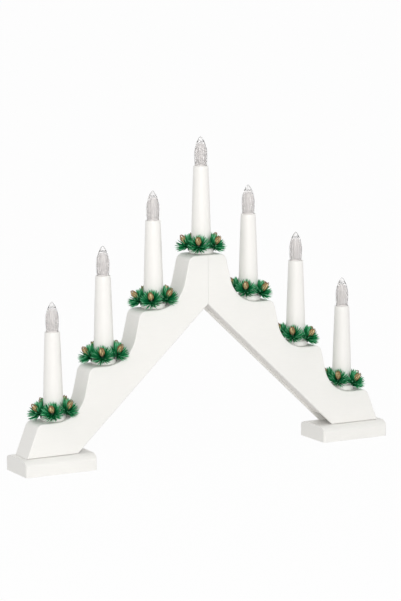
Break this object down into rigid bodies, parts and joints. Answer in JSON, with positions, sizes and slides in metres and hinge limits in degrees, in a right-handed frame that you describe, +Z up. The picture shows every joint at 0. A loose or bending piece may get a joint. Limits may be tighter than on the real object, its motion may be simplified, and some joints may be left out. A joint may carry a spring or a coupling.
{
  "type": "advent candle holder",
  "caption": "Electric advent candle arch: two stepped white wooden arms on feet, tapered candle sleeves with screw-in flame bulbs and small spruce wreaths.",
  "frame": {"origin": "on the surface the feet stand on, under the middle candle", "axes": "+X along the arch to the right as seen from the front, +Y to the back, +Z up"},
  "size_m": [0.4, 0.0516, 0.3112],
  "materials": {
    "painted_wood": "warm white satin paint on wood fibre board",
    "bare_board": "pale unpainted board",
    "beech": "bare turned beech",
    "zinc_screw": "zinc plated",
    "cable": "soft white insulation",
    "candle_plastic": "ivory white moulded plastic, low gloss",
    "holder_plastic": "white heat resistant plastic",
    "bulb_cap": "nickel plated brass screw cap",
    "clear_flame": "clear fluted plastic flame",
    "spruce_needles": "green moulded needles with lighter tips",
    "gold_cone": "tan moulded cone"
  },
  "bodies": {
    "holder": {"left_foot": "painted_wood", "right_foot": "painted_wood", "left_arm": "painted_wood", "right_arm": "painted_wood", "left_cover_strip": "bare_board", "right_cover_strip": "bare_board", "left_outer_foot_screw": "zinc_screw", "left_inner_foot_screw": "zinc_screw", "right_outer_foot_screw": "zinc_screw", "right_inner_foot_screw": "zinc_screw", "front_dowel": "beech", "back_dowel": "beech", "wiring": "cable", "cable_inlet_bush": "cable", "candle_sleeve_1": "candle_plastic", "candle_sleeve_2": "candle_plastic", "candle_sleeve_3": "candle_plastic", "candle_sleeve_4": "candle_plastic", "candle_sleeve_5": "candle_plastic", "candle_sleeve_6": "candle_plastic", "candle_sleeve_7": "candle_plastic", "drip_dish_1": "candle_plastic", "drip_dish_2": "candle_plastic", "drip_dish_3": "candle_plastic", "drip_dish_4": "candle_plastic", "drip_dish_5": "candle_plastic", "drip_dish_6": "candle_plastic", "drip_dish_7": "candle_plastic", "lampholder_1": "holder_plastic", "lampholder_2": "holder_plastic", "lampholder_3": "holder_plastic", "lampholder_4": "holder_plastic", "lampholder_5": "holder_plastic", "lampholder_6": "holder_plastic", "lampholder_7": "holder_plastic"},
    "cap_1": {"bulb_cap_1": "bulb_cap"},
    "cap_2": {"bulb_cap_2": "bulb_cap"},
    "cap_3": {"bulb_cap_3": "bulb_cap"},
    "cap_4": {"bulb_cap_4": "bulb_cap"},
    "cap_5": {"bulb_cap_5": "bulb_cap"},
    "cap_6": {"bulb_cap_6": "bulb_cap"},
    "cap_7": {"bulb_cap_7": "bulb_cap"},
    "flame_1": {"bulb_flame_1": "clear_flame"},
    "flame_2": {"bulb_flame_2": "clear_flame"},
    "flame_3": {"bulb_flame_3": "clear_flame"},
    "flame_4": {"bulb_flame_4": "clear_flame"},
    "flame_5": {"bulb_flame_5": "clear_flame"},
    "flame_6": {"bulb_flame_6": "clear_flame"},
    "flame_7": {"bulb_flame_7": "clear_flame"},
    "wreath_body_1": {"wreath_1": "spruce_needles"},
    "wreath_body_2": {"wreath_2": "spruce_needles"},
    "wreath_body_3": {"wreath_3": "spruce_needles"},
    "wreath_body_4": {"wreath_4": "spruce_needles"},
    "wreath_body_5": {"wreath_5": "spruce_needles"},
    "wreath_body_6": {"wreath_6": "spruce_needles"},
    "wreath_body_7": {"wreath_7": "spruce_needles"}
  },
  "joints": [
    {"name": "bulb_1_rise", "type": "slide", "parent": "holder", "child": "cap_1", "axis": [0, 0, 1], "range_m": [0, 0.00725]},
    {"name": "bulb_2_rise", "type": "slide", "parent": "holder", "child": "cap_2", "axis": [0, 0, 1], "range_m": [0, 0.00725]},
    {"name": "bulb_3_rise", "type": "slide", "parent": "holder", "child": "cap_3", "axis": [0, 0, 1], "range_m": [0, 0.00725]},
    {"name": "bulb_4_rise", "type": "slide", "parent": "holder", "child": "cap_4", "axis": [0, 0, 1], "range_m": [0, 0.00725]},
    {"name": "bulb_5_rise", "type": "slide", "parent": "holder", "child": "cap_5", "axis": [0, 0, 1], "range_m": [0, 0.00725]},
    {"name": "bulb_6_rise", "type": "slide", "parent": "holder", "child": "cap_6", "axis": [0, 0, 1], "range_m": [0, 0.00725]},
    {"name": "bulb_7_rise", "type": "slide", "parent": "holder", "child": "cap_7", "axis": [0, 0, 1], "range_m": [0, 0.00725]},
    {"name": "bulb_1_turn", "type": "hinge", "parent": "cap_1", "child": "flame_1", "pos_m": [-0.1605, 0, 0.15], "axis": [0, 0, 1], "range_deg": [0, 1440]},
    {"name": "bulb_2_turn", "type": "hinge", "parent": "cap_2", "child": "flame_2", "pos_m": [-0.1065, 0, 0.2], "axis": [0, 0, 1], "range_deg": [0, 1440]},
    {"name": "bulb_3_turn", "type": "hinge", "parent": "cap_3", "child": "flame_3", "pos_m": [-0.0525, 0, 0.25], "axis": [0, 0, 1], "range_deg": [0, 1440]},
    {"name": "bulb_4_turn", "type": "hinge", "parent": "cap_4", "child": "flame_4", "pos_m": [0, 0, 0.3], "axis": [0, 0, 1], "range_deg": [0, 1440]},
    {"name": "bulb_5_turn", "type": "hinge", "parent": "cap_5", "child": "flame_5", "pos_m": [0.0525, 0, 0.25], "axis": [0, 0, 1], "range_deg": [0, 1440]},
    {"name": "bulb_6_turn", "type": "hinge", "parent": "cap_6", "child": "flame_6", "pos_m": [0.1065, 0, 0.2], "axis": [0, 0, 1], "range_deg": [0, 1440]},
    {"name": "bulb_7_turn", "type": "hinge", "parent": "cap_7", "child": "flame_7", "pos_m": [0.1605, 0, 0.15], "axis": [0, 0, 1], "range_deg": [0, 1440]},
    {"name": "wreath_1_lift", "type": "slide", "parent": "holder", "child": "wreath_body_1", "axis": [0, 0, 1], "range_m": [0, 0.12]},
    {"name": "wreath_2_lift", "type": "slide", "parent": "holder", "child": "wreath_body_2", "axis": [0, 0, 1], "range_m": [0, 0.12]},
    {"name": "wreath_3_lift", "type": "slide", "parent": "holder", "child": "wreath_body_3", "axis": [0, 0, 1], "range_m": [0, 0.12]},
    {"name": "wreath_4_lift", "type": "slide", "parent": "holder", "child": "wreath_body_4", "axis": [0, 0, 1], "range_m": [0, 0.12]},
    {"name": "wreath_5_lift", "type": "slide", "parent": "holder", "child": "wreath_body_5", "axis": [0, 0, 1], "range_m": [0, 0.12]},
    {"name": "wreath_6_lift", "type": "slide", "parent": "holder", "child": "wreath_body_6", "axis": [0, 0, 1], "range_m": [0, 0.12]},
    {"name": "wreath_7_lift", "type": "slide", "parent": "holder", "child": "wreath_body_7", "axis": [0, 0, 1], "range_m": [0, 0.12]}
  ],
  "couplings": [
    {"joint": "bulb_1_turn", "follows": "bulb_1_rise", "rad_per_m": 3466.5},
    {"joint": "bulb_2_turn", "follows": "bulb_2_rise", "rad_per_m": 3466.5},
    {"joint": "bulb_3_turn", "follows": "bulb_3_rise", "rad_per_m": 3466.5},
    {"joint": "bulb_4_turn", "follows": "bulb_4_rise", "rad_per_m": 3466.5},
    {"joint": "bulb_5_turn", "follows": "bulb_5_rise", "rad_per_m": 3466.5},
    {"joint": "bulb_6_turn", "follows": "bulb_6_rise", "rad_per_m": 3466.5},
    {"joint": "bulb_7_turn", "follows": "bulb_7_rise", "rad_per_m": 3466.5}
  ]
}
